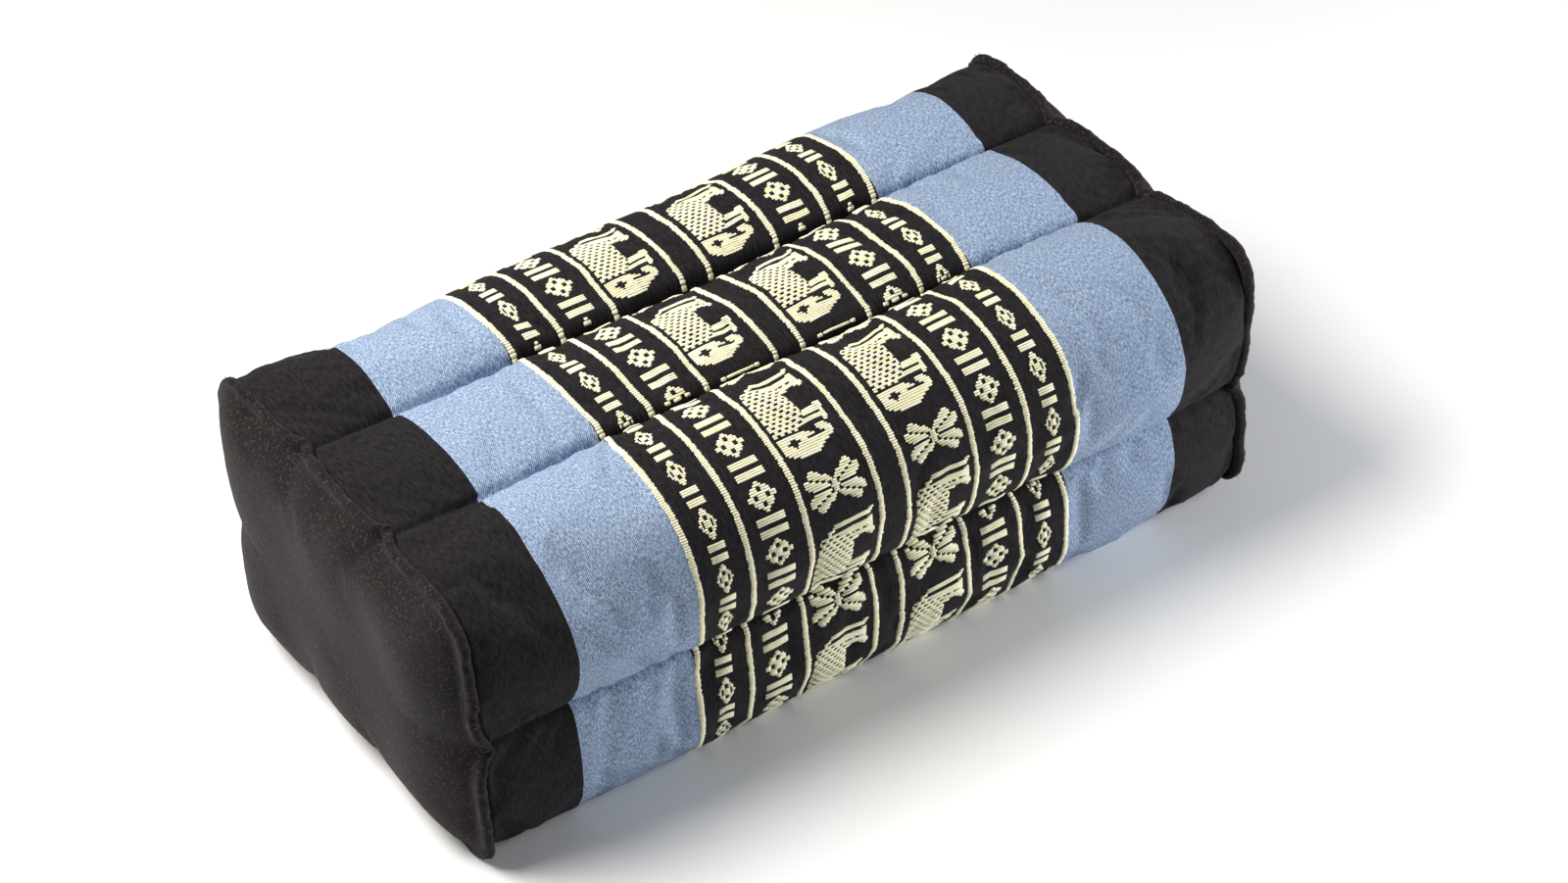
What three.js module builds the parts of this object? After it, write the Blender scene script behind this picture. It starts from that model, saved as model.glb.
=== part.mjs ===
// A block cushion of six filled channels in one woven sleeve, with a panel sewn on each end.
// Millimetres, +Z up. +X runs along the length, -Y is the front long side, and the origin is
// under the middle of the block, on the surface that it lies on.
import * as THREE from "three";

// Driving dimensions
const LENGTH = 346; // between the two end seams
const CLOTH = 2; // thickness of a sewn-on end panel
const GAP = 0.3; // between the filled sleeve and an end panel
const END_CROWN = 9.5; // how far the middle of an end panel stands out of its seam
const CROWN_POWER = 8; // how blunt that is: 2 is a dome, more is flatter with steeper edges
const PAD_SWELL = 4.5; // how far each filled cell pushes the end panel out beyond that
const SEAM_PULL = 3; // how far a channel seam draws the end seam in along the length
const SEAM_PULL_REACH = 9; // how far to each side of the channel seam that is felt
const LIP_HEIGHT = 3.4; // the sewn edge of an end panel, standing up from the sleeve

// Half of the sleeve's outline, in the middle of the block and at its end seams. Y is measured
// from the middle plane, so the other half is its mirror image.
const MIDDLE = {
  midCrestZ: 123, // crown of the channel in the middle of the top
  topSeamY: 29.5, // seam between that channel and the one at the edge
  topSeamZ: 113.5,
  crestY: 60, // crown of the channel at the edge
  crestZ: 126,
  sideY: 94.5, // where that channel stands out furthest at the side
  sideZ: 88,
  sideSeamY: 83.5, // seam between the upper and the lower channel
  sideSeamZ: 57,
  lowSideY: 90.5, // where the lower channel stands out furthest
  lowSideZ: 27,
  footY: 75, // outer edge of what lies flat on the surface
  floorZ: 0,
  floorSeamY: 29.5, // seam between two channels underneath
  floorSeamZ: 8,
};
const END = {
  midCrestZ: 118,
  topSeamY: 29,
  topSeamZ: 114,
  crestY: 72,
  crestZ: 118.5,
  sideY: 87,
  sideZ: 104,
  sideSeamY: 82.5,
  sideSeamZ: 57.5,
  lowSideY: 86.5,
  lowSideZ: 20,
  footY: 74,
  floorZ: 4,
  floorSeamY: 29,
  floorSeamZ: 6.5,
};
const FLOOR_SEAM_REACH = 13; // half the width of a groove underneath
const MIDDLE_POWER = 2; // how a middle channel falls from its crown to a seam: 2 is a parabola
const EDGE_POWER = 2.8; // the same for an edge channel, which is rounder and steeper at its seams
const CORNER_POWER = 2.15; // corners of the outline: 2 is round, more is squarer
const FOOT_POWER = 2.6; // the same where the lower corners meet the surface
const CROWN_FROM = 95; // distance from the middle at which the crowns start to come down
const SEAM_POWER = 2.2; // how late along the length the seams become shallow
const SETTLED = 0.85; // share of the half length over which the underside lies flat

// Where the filling is uneven: a place on the sleeve, how far it swells, and how far that reaches.
const UNEVEN = [
  { x: 0, y: 62, z: 122, swell: -3.2, reach: 62 },
  { x: 130, y: -94, z: 90, swell: 2.6, reach: 55 },
  { x: -128, y: -70, z: 121, swell: -2.8, reach: 40 },
  { x: -112, y: 70, z: 122, swell: -2.6, reach: 42 },
  { x: 172, y: -30, z: 118, swell: -2.2, reach: 48 },
  { x: 120, y: 0, z: 123, swell: 1.6, reach: 45 },
  { x: -20, y: -94, z: 92, swell: 1.5, reach: 50 },
  { x: -150, y: 84, z: 100, swell: 2.4, reach: 34 },
  { x: 128, y: -90, z: 27, swell: 1.8, reach: 45 },
];

// Steps of the surface
const STATIONS = [0, 32, 64, 94, 116, 134, 147, 156.5, 163.5, 168]; // distances from the middle
const PANEL_RINGS = [0.975, 0.93, 0.86, 0.74, 0.57, 0.35]; // shares of the way from the centre
const CENTRE_Z = 58; // height of an end panel's centre, where the six cells' walls cross

// The sewn edge of an end panel, from its outer face over the edge to its inner face: out is
// measured from the end seam away from the sleeve, and along is measured down the length.
const LIP = [
  { out: 0.5, along: 1.1 },
  { out: 0.8 * LIP_HEIGHT, along: 0.9 },
  { out: LIP_HEIGHT, along: -0.2 },
  { out: 0.8 * LIP_HEIGHT, along: -1.3 },
  { out: 0.4, along: -1.5 },
];

const mix = (from, to, share) => from + (to - from) * share;

// Sizes of the outline at a share of the way from the middle (0) to an end seam (1).
function sizesAt(share) {
  const late = Math.max(0, (share * LENGTH) / 2 - CROWN_FROM) / (LENGTH / 2 - CROWN_FROM);
  const round = 1 - Math.sqrt(1 - Math.min(1, late) ** 2);
  const seam = share ** SEAM_POWER;
  const lifted = Math.max(0, (share - SETTLED) / (1 - SETTLED)) ** 2;
  const sizes = {};
  for (const key of Object.keys(MIDDLE)) {
    const blend = key.startsWith("floor") ? lifted : key.includes("Seam") ? seam : round;
    sizes[key] = mix(MIDDLE[key], END[key], blend);
  }
  return sizes;
}

// From a seam up to a crown, both included. The cloth runs along one axis and falls on the other,
// and its points lie closer together near the seam.
function shoulder(seam, crown, runs, power, steps) {
  const falls = runs === "y" ? "z" : "y";
  const points = [];
  for (let i = 0; i <= steps; i++) {
    const u = (i / steps) ** 1.4;
    points.push({
      [runs]: mix(seam[runs], crown[runs], u),
      [falls]: mix(crown[falls], seam[falls], (1 - u) ** power),
    });
  }
  return points;
}

// From a crown on the top or underside round to where the side stands out furthest.
function corner(crown, side, power, steps) {
  const points = [];
  for (let i = 0; i <= steps; i++) {
    const angle = ((Math.PI / 2) * i) / steps;
    points.push({
      y: mix(crown.y, side.y, Math.sin(angle) ** (2 / power)),
      z: mix(side.z, crown.z, Math.cos(angle) ** (2 / power)),
    });
  }
  return points;
}

// One closed outline of the sleeve, from the top over the back, underneath and up the front.
function outlineAt(share) {
  const s = sizesAt(share);
  const topSeam = { y: s.topSeamY, z: s.topSeamZ };
  const crest = { y: s.crestY, z: s.crestZ };
  const side = { y: s.sideY, z: s.sideZ };
  const sideSeam = { y: s.sideSeamY, z: s.sideSeamZ };
  const lowSide = { y: s.lowSideY, z: s.lowSideZ };
  const foot = { y: s.footY, z: s.floorZ };
  const floorSeam = { y: s.floorSeamY, z: s.floorSeamZ };
  const outerEdge = { y: s.floorSeamY + FLOOR_SEAM_REACH, z: s.floorZ };
  const innerEdge = { y: s.floorSeamY - FLOOR_SEAM_REACH, z: s.floorZ };
  const arcs = [
    shoulder(topSeam, { y: 0, z: s.midCrestZ }, "y", MIDDLE_POWER, 4).reverse(),
    shoulder(topSeam, crest, "y", EDGE_POWER, 4),
    corner(crest, side, CORNER_POWER, 6),
    shoulder(sideSeam, side, "z", EDGE_POWER, 4).reverse(),
    shoulder(sideSeam, lowSide, "z", EDGE_POWER, 4),
    corner(foot, lowSide, FOOT_POWER, 4).reverse(),
    shoulder(floorSeam, outerEdge, "y", MIDDLE_POWER, 2).reverse(),
    shoulder(floorSeam, innerEdge, "y", MIDDLE_POWER, 2),
  ];
  const half = [arcs[0][0]];
  for (const arc of arcs) {
    const repeated = Math.hypot(arc[0].y - half.at(-1).y, arc[0].z - half.at(-1).z) < 1e-6;
    half.push(...(repeated ? arc.slice(1) : arc));
  }
  half.push({ y: 0, z: s.floorZ });
  const mirrored = half.slice(1, -1).reverse();
  return [...half, ...mirrored.map((p) => ({ y: -p.y, z: p.z }))];
}

// Unit vectors that point out of a closed outline, one for each of its points.
function outwards(outline) {
  return outline.map((_, k) => {
    const before = outline.at(k - 1);
    const after = outline[(k + 1) % outline.length];
    const length = Math.hypot(after.y - before.y, after.z - before.z);
    return { y: (before.z - after.z) / length, z: (after.y - before.y) / length };
  });
}

// How far a point of the sleeve swells where the filling is uneven. What lies flat stays flat.
function swellAt(x, y, z) {
  if (z < MIDDLE.floorSeamZ) return 0;
  const spread = (d) => Math.exp(-((Math.hypot(x - d.x, y - d.y, z - d.z) / d.reach) ** 2));
  return UNEVEN.reduce((sum, d) => sum + d.swell * spread(d), 0);
}

// How far along the length the end seam lies at each point of the outline.
function endDistances(outline) {
  const seams = [
    { y: END.topSeamY, z: END.topSeamZ },
    { y: END.sideSeamY, z: END.sideSeamZ },
    { y: END.floorSeamY, z: END.floorSeamZ },
  ];
  return outline.map((p) => {
    const nearest = Math.min(...seams.map((s) => Math.hypot(Math.abs(p.y) - s.y, p.z - s.z)));
    return LENGTH / 2 - SEAM_PULL * Math.exp(-((nearest / SEAM_PULL_REACH) ** 2));
  });
}

// The end seam: its points, the way out of each, and how far along the length each lies.
function endSeam(end) {
  const flat = outlineAt(1);
  const reach = endDistances(flat);
  const out = outwards(flat);
  const points = flat.map((p, k) => {
    const swell = swellAt(end * reach[k], p.y, p.z);
    return { y: p.y + out[k].y * swell, z: p.z + out[k].z * swell };
  });
  return { points, out, reach };
}

// How far a place on an end panel stands out of its seam, by its share of the way from the centre.
function padHeight(share, y, z) {
  const upper = z > CENTRE_Z;
  const row = upper
    ? (z - CENTRE_Z) / (END.crestZ - CENTRE_Z)
    : (CENTRE_Z - z) / (CENTRE_Z - END.floorZ);
  const inMiddle = Math.abs(y) < END.topSeamY;
  const column = inMiddle
    ? (y / END.topSeamY + 1) / 2
    : (Math.abs(y) - END.topSeamY) / (END.sideY - END.topSeamY);
  const pillow = (u) => Math.sin(Math.PI * Math.min(1, u)) ** 2;
  return END_CROWN * (1 - share ** CROWN_POWER) + PAD_SWELL * pillow(row) * pillow(column);
}

// A ring of an end panel's outer face, moved inwards along the length by a depth.
function panelRing(end, seam, share, depth) {
  return seam.points.map((p, k) => {
    const y = p.y * share;
    const z = CENTRE_Z + (p.z - CENTRE_Z) * share;
    const along = mix(LENGTH / 2, seam.reach[k], share ** 6) + padHeight(share, y, z) - depth;
    return new THREE.Vector3(end * along, y, z);
  });
}

function panelCentre(end, depth) {
  const along = LENGTH / 2 + padHeight(0, 0, CENTRE_Z) - depth;
  return new THREE.Vector3(end * along, 0, CENTRE_Z);
}

// A closed solid through rings of equal count, with a point to close it before and after them.
// Each four-sided patch is split across its shorter diagonal, so facing surfaces split alike.
function ringSolid(firstPoint, rings, lastPoint) {
  const count = rings[0].length;
  const vertices = [firstPoint, ...rings.flat(), lastPoint];
  const faces = [];
  const at = (ring, k) => 1 + ring * count + (k % count);
  for (let k = 0; k < count; k++) {
    faces.push(0, at(0, k), at(0, k + 1));
    for (let ring = 0; ring + 1 < rings.length; ring++) {
      const [a, b] = [at(ring, k), at(ring, k + 1)];
      const [c, d] = [at(ring + 1, k + 1), at(ring + 1, k)];
      const shortest = vertices[a].distanceTo(vertices[c]) < vertices[b].distanceTo(vertices[d]);
      faces.push(...(shortest ? [a, c, b, a, d, c] : [a, d, b, b, d, c]));
    }
    faces.push(vertices.length - 1, at(rings.length - 1, k + 1), at(rings.length - 1, k));
  }
  return new THREE.BufferGeometry().setFromPoints(vertices).setIndex(faces);
}

// One outline of the sleeve at a distance from the middle, measured on the end's own seam line.
function sleeveRing(end, station, inset, reach) {
  const outline = outlineAt(station / (LENGTH / 2));
  const out = outwards(outline);
  return outline.map((p, k) => {
    const x = (end * station * reach[k]) / (LENGTH / 2);
    const swell = swellAt(x, p.y, p.z) - inset;
    return new THREE.Vector3(x, p.y + out[k].y * swell, p.z + out[k].z * swell);
  });
}

// The filled sleeve: one solid, closed at each end by a face that follows the end panel.
function filledSleeve() {
  const inner = CLOTH + GAP;
  const half = (end) => {
    const seam = endSeam(end);
    return [
      ...STATIONS.map((station) => sleeveRing(end, station, 0, seam.reach)),
      sleeveRing(end, LENGTH / 2 - inner - 0.4, 0.8, seam.reach),
      ...PANEL_RINGS.map((share) => panelRing(end, seam, share, inner)),
    ];
  };
  const rings = [...half(-1).reverse(), ...half(1).slice(1)];
  return ringSolid(panelCentre(-1, inner), rings, panelCentre(1, inner));
}

// An end panel: a swelling sheet whose sewn edge stands up all round.
function endPanel(end) {
  const seam = endSeam(end);
  const outer = PANEL_RINGS.map((share) => panelRing(end, seam, share, 0)).reverse();
  const inner = PANEL_RINGS.map((share) => panelRing(end, seam, share, CLOTH));
  const lip = LIP.map(({ out, along }) =>
    seam.points.map((p, k) => {
      const x = end * (seam.reach[k] + along);
      return new THREE.Vector3(x, p.y + seam.out[k].y * out, p.z + seam.out[k].z * out);
    }),
  );
  const rings = [...outer, ...lip, ...inner];
  if (end > 0) {
    rings.reverse();
    return ringSolid(panelCentre(end, CLOTH), rings, panelCentre(end, 0));
  }
  return ringSolid(panelCentre(end, 0), rings, panelCentre(end, CLOTH));
}

const wovenCloth = new THREE.MeshStandardMaterial({ color: 0x7d9cc4, roughness: 0.92, metalness: 0 });
const plainCloth = new THREE.MeshStandardMaterial({ color: 0x1d1a1c, roughness: 0.95, metalness: 0 });

function piece(name, geometry, material) {
  geometry.computeVertexNormals();
  const mesh = new THREE.Mesh(geometry, material);
  mesh.name = name;
  return mesh;
}

const block = new THREE.Group();
block.name = "block_cushion";
block.add(piece("filled_sleeve", filledSleeve(), wovenCloth));
block.add(piece("end_panel_left", endPanel(-1), plainCloth));
block.add(piece("end_panel_right", endPanel(1), plainCloth));

export default block;
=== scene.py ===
# %% [markdown]
# # A filled block cushion in a striped woven sleeve
# The real block is a length of woven cloth, sewn through into channels and packed hard with fibre, with a plain
# panel sewn over each end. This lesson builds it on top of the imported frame: first the cloth's shape, then what
# is sewn and woven on it, then the finishes, and last the light and the camera.

# %% Load the frame
import math

import bpy
import numpy as np
from mathutils import Matrix, Vector


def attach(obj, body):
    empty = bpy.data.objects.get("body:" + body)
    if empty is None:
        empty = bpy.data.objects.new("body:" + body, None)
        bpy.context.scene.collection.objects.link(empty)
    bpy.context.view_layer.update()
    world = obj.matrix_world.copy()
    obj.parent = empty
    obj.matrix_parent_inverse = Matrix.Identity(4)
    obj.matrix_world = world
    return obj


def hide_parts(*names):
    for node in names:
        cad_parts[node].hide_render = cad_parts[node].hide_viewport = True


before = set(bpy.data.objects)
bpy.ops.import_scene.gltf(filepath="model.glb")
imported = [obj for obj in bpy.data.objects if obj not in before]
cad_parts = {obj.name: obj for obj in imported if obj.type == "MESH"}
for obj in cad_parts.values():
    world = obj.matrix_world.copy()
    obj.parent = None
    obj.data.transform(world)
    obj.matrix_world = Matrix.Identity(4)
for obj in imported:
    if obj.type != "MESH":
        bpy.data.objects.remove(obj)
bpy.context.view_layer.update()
MM = 0.001
rng = np.random.default_rng(2756)

# %% [markdown]
# ## The outline of the sleeve
# Cut across, the sleeve is six swollen lobes: three on top and three underneath, with a seam between each two.
# It could be sculpted, but every lobe is the same few curves with other sizes, so one table holds the sizes in
# the middle of the block and at its end seams, and everything between is blended. They follow the frame's own
# sizes, but the seams start higher, because their narrow tucks are put in later.

# %% Sizes of the outline
LENGTH = 346.0  # between the two end seams, in millimetres like all sizes here
CROWN_FROM = 95.0  # distance from the middle at which the crowns start to come down
SETTLED = 0.85  # share of the half length that lies flat
CENTRE_Z = 58.0  # where the walls of the six channels cross
OUTLINE = {  # (in the middle of the block, at its end seams)
    "mid_crest_z": (123.5, 118.5),
    "top_seam_y": (29.5, 29),
    "top_seam_z": (117, 116.8),
    "crest_y": (60, 72),
    "crest_z": (126, 118.5),
    "side_y": (94.5, 87),
    "side_z": (88, 104),
    "side_seam_y": (87, 84.8),
    "side_seam_z": (57, 57.5),
    "low_side_y": (90.5, 86.5),
    "low_side_z": (27, 20),
    "foot_y": (75, 74),
    "floor_z": (0, 4),
    "floor_seam_y": (29.5, 29),
    "floor_seam_z": (8, 6.5),
}
FLOOR_SEAM_REACH = 13.0
END_CROWN, PAD_SWELL = 11.0, 1.6  # how far an end panel bulges, and each of its six pads on top of that


def sizes_at(share):
    """The outline's sizes at a share of the way from the middle (0) to an end seam (1)."""
    late = min(1.0, max(0.0, share * LENGTH / 2 - CROWN_FROM) / (LENGTH / 2 - CROWN_FROM))
    lifted = max(0.0, (share - SETTLED) / (1 - SETTLED)) ** 2
    sizes = {}
    for name, (middle, end) in OUTLINE.items():
        blend = 1 - math.sqrt(1 - late**2)
        if "seam" in name:
            blend = share**2.2
        if name.startswith("floor"):
            blend = lifted
        sizes[name] = middle + (end - middle) * blend
    return sizes


print("half width at the end seams:", sizes_at(1.0)["side_y"], "mm")

# %% [markdown]
# Each lobe is drawn from a seam up to its crown as a falling curve, and round the block's corners as a
# superellipse, which is a circle pressed a little square. The lanes between seams are kept apart, because the
# cloth is measured along each of them.

# %% The six lanes of cloth
LANES = ("top", "front_upper", "front_lower", "under", "back_lower", "back_upper")


EDGE, MIDDLE = 2.8, 2.5  # how steeply the edge lobes and the middle ones fall to their seams


def shoulder(seam, crown, runs, power):
    """From a seam up to a crown. The cloth runs along one axis (0 is Y, 1 is Z) and falls on the other."""
    u = np.linspace(0, 1, 41) ** 1.4
    points = np.empty((41, 2))
    falls = 1 - runs
    points[:, runs] = seam[runs] + (crown[runs] - seam[runs]) * u
    points[:, falls] = crown[falls] + (seam[falls] - crown[falls]) * (1 - u) ** power
    return points


def corner(crown, side, power):
    """From a crown on the top or underside round to where the side stands out furthest."""
    angle = np.linspace(0, math.pi / 2, 41)
    y = crown[0] + (side[0] - crown[0]) * np.sin(angle) ** (2 / power)
    z = side[1] + (crown[1] - side[1]) * np.cos(angle) ** (2 / power)
    return np.stack([y, z], axis=1)


def lanes_at(share):
    """The six lanes as lists of (y, z), from the seam at the back of the top, over the front and round."""
    s = sizes_at(share)
    top_seam, crest = (s["top_seam_y"], s["top_seam_z"]), (s["crest_y"], s["crest_z"])
    side, side_seam = (s["side_y"], s["side_z"]), (s["side_seam_y"], s["side_seam_z"])
    low_side, foot = (s["low_side_y"], s["low_side_z"]), (s["foot_y"], s["floor_z"])
    floor_seam = (s["floor_seam_y"], s["floor_seam_z"])
    outer = (floor_seam[0] + FLOOR_SEAM_REACH, s["floor_z"])
    inner = (floor_seam[0] - FLOOR_SEAM_REACH, s["floor_z"])
    half_top = shoulder(top_seam, (0, s["mid_crest_z"]), 0, MIDDLE)
    round_corner, round_foot = corner(crest, side, 2.15), corner(foot, low_side, 2.6)[::-1]
    upper = np.concatenate(
        [shoulder(top_seam, crest, 0, EDGE), round_corner, shoulder(side_seam, side, 1, EDGE)[::-1]]
    )
    lower = np.concatenate(
        [shoulder(side_seam, low_side, 1, EDGE), round_foot, shoulder(floor_seam, outer, 0, MIDDLE)[::-1]]
    )
    half_under = np.concatenate([shoulder(floor_seam, inner, 0, MIDDLE), [(0, s["floor_z"])]])
    front = np.array([-1, 1])
    return [
        np.concatenate([half_top, half_top[::-1] * front]),
        upper * front,
        lower * front,
        np.concatenate([half_under * front, half_under[::-1]]),
        lower[::-1],
        upper[::-1],
    ]


def measured(points):
    """How far along a line each of its points lies."""
    steps = np.hypot(*np.diff(points, axis=0).T)
    return np.concatenate([[0], np.cumsum(steps)])


LANE_LENGTHS = [measured(lane)[-1] for lane in lanes_at(0.0)]
print("cloth in each lane, mm:", {name: round(length, 1) for name, length in zip(LANES, LANE_LENGTHS)})

# %% [markdown]
# ## A grid of cloth
# A grid with one column for each place round the block and one row for each place along it keeps the cloth's own
# directions, so stripes, weave and stitches can follow them. Hand-packed filling is never even, so a short table
# says where it swells or sinks.

# %% Grids of any fineness
UNEVEN = (  # x, y, z, how far it swells, how far that reaches
    (0, 62, 122, -3.2, 62),
    (130, -94, 90, 2.6, 55),
    (-128, -70, 121, -2.8, 40),
    (-112, 70, 122, -2.6, 42),
    (172, -30, 118, -2.2, 48),
    (120, 0, 123, 1.6, 45),
    (-20, -94, 92, 1.5, 50),
    (-150, 84, 100, 2.4, 34),
    (128, -90, 27, 1.8, 45),
)


def outwards(loop):
    """Unit vectors out of a closed loop of (y, z)."""
    along = np.roll(loop, -1, axis=0) - np.roll(loop, 1, axis=0)
    out = np.stack([along[:, 1], -along[:, 0]], axis=1)
    return out / np.linalg.norm(out, axis=1)[:, None]


def swell_at(x, loop):
    total = np.zeros(len(loop))
    for dx, dy, dz, swell, reach in UNEVEN:
        away = (x - dx) ** 2 + (loop[:, 0] - dy) ** 2 + (loop[:, 1] - dz) ** 2
        total += swell * np.exp(-away / reach**2)
    return np.where(loop[:, 1] < 8, 0, total)


def loop_at(share, lane_steps):
    """One closed loop of cloth, with each lane sampled at shares of its own length."""
    pieces = []
    for lane, steps in zip(lanes_at(share), lane_steps):
        along = measured(lane)
        for axis in (0, 1):
            pieces.append(np.interp(steps[:-1] * along[-1], along, lane[:, axis]))
    return np.stack([np.concatenate(pieces[0::2]), np.concatenate(pieces[1::2])], axis=1)


def end_reach(loop):
    """How far from the middle the end seam lies at each column: the channel seams draw it in."""
    s = sizes_at(1.0)
    seams = [[s[f"{name}_y"], s[f"{name}_z"]] for name in ("top_seam", "side_seam", "floor_seam")]
    near = [np.hypot(np.abs(loop[:, 0]) - y, loop[:, 1] - z) for y, z in seams]
    return LENGTH / 2 - 3.0 * np.exp(-((np.min(near, axis=0) / 9.0) ** 2))


def sleeve_grid(stations, lane_steps):
    reach = end_reach(loop_at(1.0, lane_steps))
    rows = []
    for station in stations:
        loop = loop_at(abs(station) / (LENGTH / 2), lane_steps)
        x = station * reach / (LENGTH / 2)
        loop = loop + outwards(loop) * swell_at(x, loop)[:, None]
        rows.append(np.column_stack([x, loop]))
    return np.array(rows)


def cap_grid(end, shares, lane_steps, depth):
    """Rows of an end panel, each a share of the way from its centre to its seam, pushed in by a depth."""
    s = sizes_at(1.0)
    flat = loop_at(1.0, lane_steps)
    reach = end_reach(flat)
    rim = flat + outwards(flat) * swell_at(end * reach, flat)[:, None]
    rows = []
    for share in shares:
        y, z = rim[:, 0] * share, CENTRE_Z + (rim[:, 1] - CENTRE_Z) * share
        above, below = (z - CENTRE_Z) / (s["crest_z"] - CENTRE_Z), (CENTRE_Z - z) / (CENTRE_Z - s["floor_z"])
        row = np.where(z > CENTRE_Z, above, below)
        outer = (np.abs(y) - s["top_seam_y"]) / (s["side_y"] - s["top_seam_y"])
        column = np.where(np.abs(y) < s["top_seam_y"], (y / s["top_seam_y"] + 1) / 2, outer)
        pads = np.sin(math.pi * np.clip(row, 0, 1)) ** 2 * np.sin(math.pi * np.clip(column, 0, 1)) ** 2
        crown = END_CROWN * (1 - share**9) + PAD_SWELL * pads
        along = LENGTH / 2 + (reach - LENGTH / 2) * share**6 + crown - depth
        rows.append(np.column_stack([end * along, y, z]))
    return np.array(rows)


def even_steps(counts):
    return [np.linspace(0, 1, count + 1) for count in counts]


coarse_steps = even_steps((18, 36, 32, 18, 32, 36))
coarse_stations = np.linspace(-LENGTH / 2, LENGTH / 2, 103)
coarse = sleeve_grid(coarse_stations, coarse_steps)
print("cloth grid:", coarse.shape[:2])

# %% [markdown]
# ## Filling it
# Filled cloth takes its shape from the pressure inside and from the seams that hold it. The grid starts a little
# slack, its seams are pinned, and the cloth solver blows it up, with the cloth itself slightly too large, so that
# it puckers beside the seams as sewn cloth does. The lower lobes stay pinned where they lie on the floor.

# %% One closed mesh for the solver
COARSE_SHARES = np.linspace(0.12, 0.96, 12)


def stacked(rows):
    """Vertices and faces of a closed surface through rows of equal count, with a point at each end."""
    count = rows.shape[1]
    points = np.concatenate([rows[:1].mean(axis=1), rows.reshape(-1, 3), rows[-1:].mean(axis=1)])
    ring, place = np.meshgrid(np.arange(len(rows) - 1), np.arange(count), indexing="ij")
    here, after = 1 + ring * count + place, 1 + ring * count + (place + 1) % count
    quads = np.stack([here, after, after + count, here + count], axis=-1).reshape(-1, 4)
    k = np.arange(count)
    last = 1 + (len(rows) - 1) * count
    first_fan = np.stack([np.zeros(count, int), 1 + (k + 1) % count, 1 + k], axis=1)
    last_fan = np.stack([np.full(count, len(points) - 1), last + k, last + (k + 1) % count], axis=1)
    return points, quads, np.concatenate([first_fan, last_fan])


def mesh_object(name, points, *face_lists):
    mesh = bpy.data.meshes.new(name)
    faces = [face for faces in face_lists for face in faces.tolist()]
    mesh.from_pydata((np.asarray(points) * MM).tolist(), [], faces)
    mesh.shade_smooth()
    obj = bpy.data.objects.new(name, mesh)
    bpy.context.scene.collection.objects.link(obj)
    return obj


left_cap = cap_grid(-1, COARSE_SHARES, coarse_steps, 0)
right_cap = cap_grid(1, COARSE_SHARES[::-1], coarse_steps, 0)
full = np.concatenate([left_cap, coarse, right_cap])
lane_place = np.concatenate([steps[:-1] for steps in coarse_steps])
slack = full.copy()
ring_out = np.array([outwards(row[:, 1:]) for row in full])
lobe = np.sin(math.pi * lane_place) ** 0.8
slack[12:-12, :, 1:] -= 1.6 * (ring_out * lobe[None, :, None])[12:-12]
slack[..., 2] = np.where(full[..., 2] < 1.0, full[..., 2], np.maximum(slack[..., 2], 0.3))
held = np.zeros(full.shape[:2])
held[12:-12, lane_place == 0] = 1
held[12] = held[-13] = 1
held[full[..., 2] < 1.0] = 1
for rows in (slice(0, 12), slice(-12, None)):
    wall = np.minimum(np.abs(np.abs(full[rows, :, 1]) - 29), np.abs(full[rows, :, 2] - CENTRE_Z))
    held[rows] = np.clip(0.75 - wall / 6, 0.12, 1)
print("pinned points:", int((held == 1).sum()), "of", held.size)

# %% Blow it up
FRAMES = 20
MOST = 5.0  # millimetres that a point may move


def blown_up(points, quads, fans, weights):
    obj = mesh_object("filling_trial", points, quads, fans)
    group = obj.vertex_groups.new(name="sewn")
    for index, weight in enumerate(weights.tolist()):
        group.add([index], weight, "REPLACE")
    cloth = obj.modifiers.new("filling", "CLOTH")
    cloth.settings.quality = 5
    cloth.settings.use_pressure = True
    cloth.settings.uniform_pressure_force = 4.0
    cloth.settings.shrink_min = -0.012
    cloth.settings.bending_stiffness = 0.4
    cloth.settings.vertex_group_mass = "sewn"
    cloth.settings.effector_weights.gravity = 0
    cloth.collision_settings.use_collision = False
    for number in range(1, FRAMES + 1):
        bpy.context.scene.frame_set(number)
    graph = bpy.context.evaluated_depsgraph_get()
    result = obj.evaluated_get(graph).to_mesh()
    moved = np.empty(len(points) * 3)
    result.vertices.foreach_get("co", moved)
    obj.evaluated_get(graph).to_mesh_clear()
    bpy.data.objects.remove(obj)
    bpy.context.scene.frame_set(1)
    return moved.reshape(-1, 3) / MM


points, quads, fans = stacked(slack)
weights = np.concatenate([[0.3], held.ravel(), [0.3]])
shift = (blown_up(points, quads, fans, weights) - points)[1:-1]
length = np.linalg.norm(shift, axis=1, keepdims=True)
shift *= np.minimum(1, MOST / np.maximum(length, 1e-9))
blown = slack + shift.reshape(slack.shape)
off = np.linalg.norm(blown - full, axis=2)
print("filled cloth moved", round(float(length.max()), 2), "mm at most")
print("and is", round(float(off.mean()), 2), "mm off on average")

# %% [markdown]
# ## The finished sleeve
# The solver's grid is coarse, so its movement is carried over to a finer grid of the same outline with a cubic
# curve in each direction. Close to a seam the cloth turns sharply in, because it is tucked into the wall sewn
# behind it. That tuck is narrower than the solver's grid, so it is put in here, with small gathers beside it.

# %% Carry the movement to a finer grid
def cubic_weights(knots, at):
    """A matrix that reads values at new places from values at knots, with a cubic through the nearest four."""
    first = np.clip(np.searchsorted(knots, at) - 2, 0, len(knots) - 4)
    weights = np.zeros((len(at), len(knots)))
    for i in range(4):
        share = np.ones(len(at))
        for j in range(4):
            if j != i:
                share *= (at - knots[first + j]) / (knots[first + i] - knots[first + j])
        weights[np.arange(len(at)), first + i] = share
    return weights


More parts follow.
